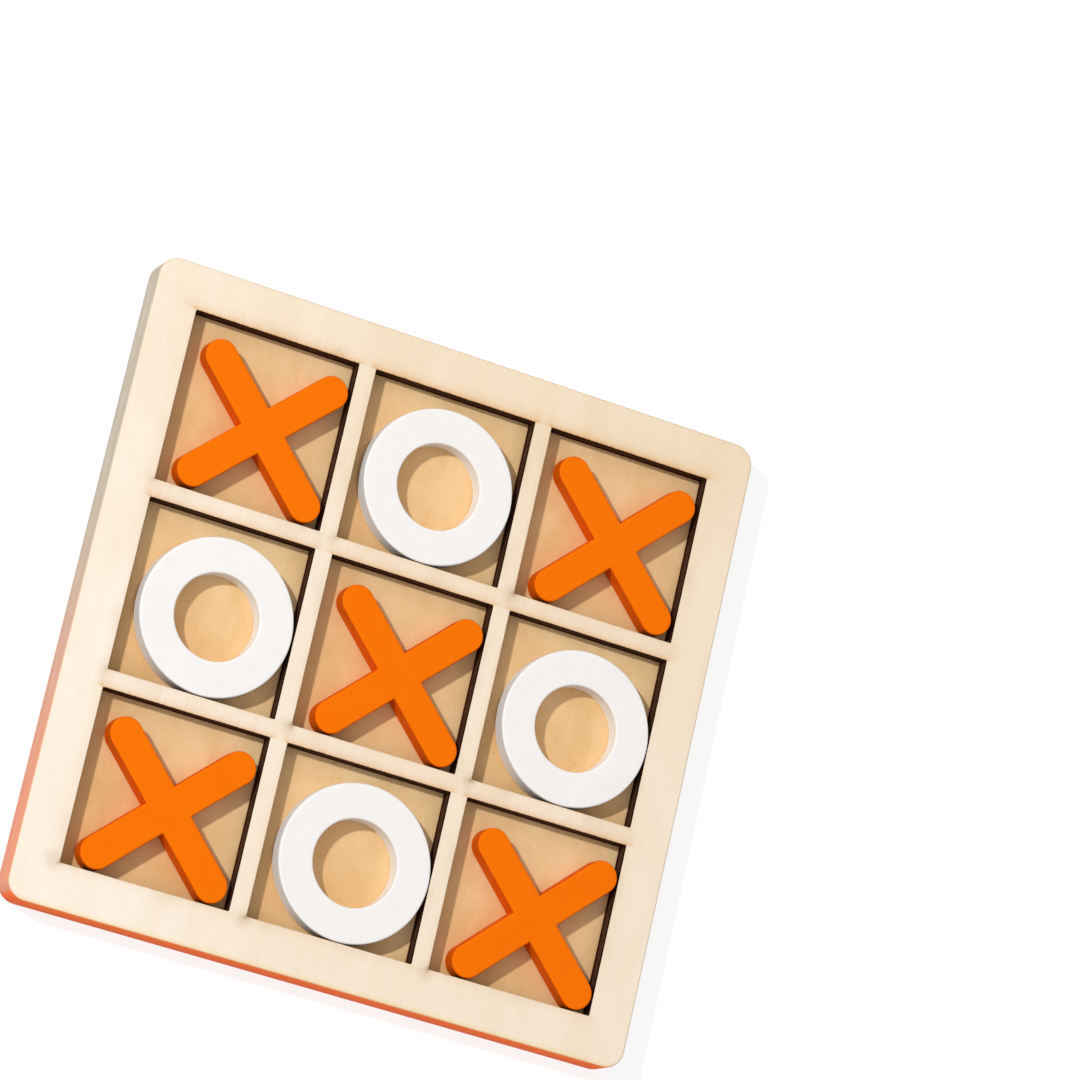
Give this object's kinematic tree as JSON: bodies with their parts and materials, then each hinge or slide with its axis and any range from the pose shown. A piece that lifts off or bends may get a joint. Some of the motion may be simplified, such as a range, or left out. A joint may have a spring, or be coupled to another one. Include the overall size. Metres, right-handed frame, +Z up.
{
  "type": "tic tac toe set",
  "caption": "Square plywood tic tac toe board with recessed square cells, holding loose painted wooden crosses and rings.",
  "frame": {"origin": "centre of the board's underside", "axes": "+X to the right along a row of cells, +Y up a column of cells and along the grain, +Z up out of the cells"},
  "size_m": [0.145, 0.145, 0.0084],
  "materials": {
    "face_veneer": "bare sanded light veneer, char-brown on the laser-cut cell walls",
    "core_veneer": "bare core veneer, seen on the cut edges only",
    "orange_paint": "satin orange paint on wood",
    "white_paint": "matt white paint on wood"
  },
  "bodies": {
    "board": {"base_bottom_ply": "face_veneer", "base_core_ply": "core_veneer", "base_top_ply": "face_veneer", "lattice_bottom_ply": "face_veneer", "lattice_core_ply": "core_veneer", "lattice_top_ply": "face_veneer"},
    "x_piece_upper_left": {"x_piece_upper_left": "orange_paint"},
    "o_piece_upper": {"o_piece_upper": "white_paint"},
    "x_piece_upper_right": {"x_piece_upper_right": "orange_paint"},
    "o_piece_left": {"o_piece_left": "white_paint"},
    "x_piece_centre": {"x_piece_centre": "orange_paint"},
    "o_piece_right": {"o_piece_right": "white_paint"},
    "x_piece_lower_left": {"x_piece_lower_left": "orange_paint"},
    "o_piece_lower": {"o_piece_lower": "white_paint"},
    "x_piece_lower_right": {"x_piece_lower_right": "orange_paint"}
  },
  "joints": [
    {"name": "x_piece_upper_left_lift", "type": "slide", "parent": "board", "child": "x_piece_upper_left", "axis": [0, 0, 1], "range_m": [0, 0.03]},
    {"name": "o_piece_upper_lift", "type": "slide", "parent": "board", "child": "o_piece_upper", "axis": [0, 0, 1], "range_m": [0, 0.03]},
    {"name": "x_piece_upper_right_lift", "type": "slide", "parent": "board", "child": "x_piece_upper_right", "axis": [0, 0, 1], "range_m": [0, 0.03]},
    {"name": "o_piece_left_lift", "type": "slide", "parent": "board", "child": "o_piece_left", "axis": [0, 0, 1], "range_m": [0, 0.03]},
    {"name": "x_piece_centre_lift", "type": "slide", "parent": "board", "child": "x_piece_centre", "axis": [0, 0, 1], "range_m": [0, 0.03]},
    {"name": "o_piece_right_lift", "type": "slide", "parent": "board", "child": "o_piece_right", "axis": [0, 0, 1], "range_m": [0, 0.03]},
    {"name": "x_piece_lower_left_lift", "type": "slide", "parent": "board", "child": "x_piece_lower_left", "axis": [0, 0, 1], "range_m": [0, 0.03]},
    {"name": "o_piece_lower_lift", "type": "slide", "parent": "board", "child": "o_piece_lower", "axis": [0, 0, 1], "range_m": [0, 0.03]},
    {"name": "x_piece_lower_right_lift", "type": "slide", "parent": "board", "child": "x_piece_lower_right", "axis": [0, 0, 1], "range_m": [0, 0.03]}
  ]
}
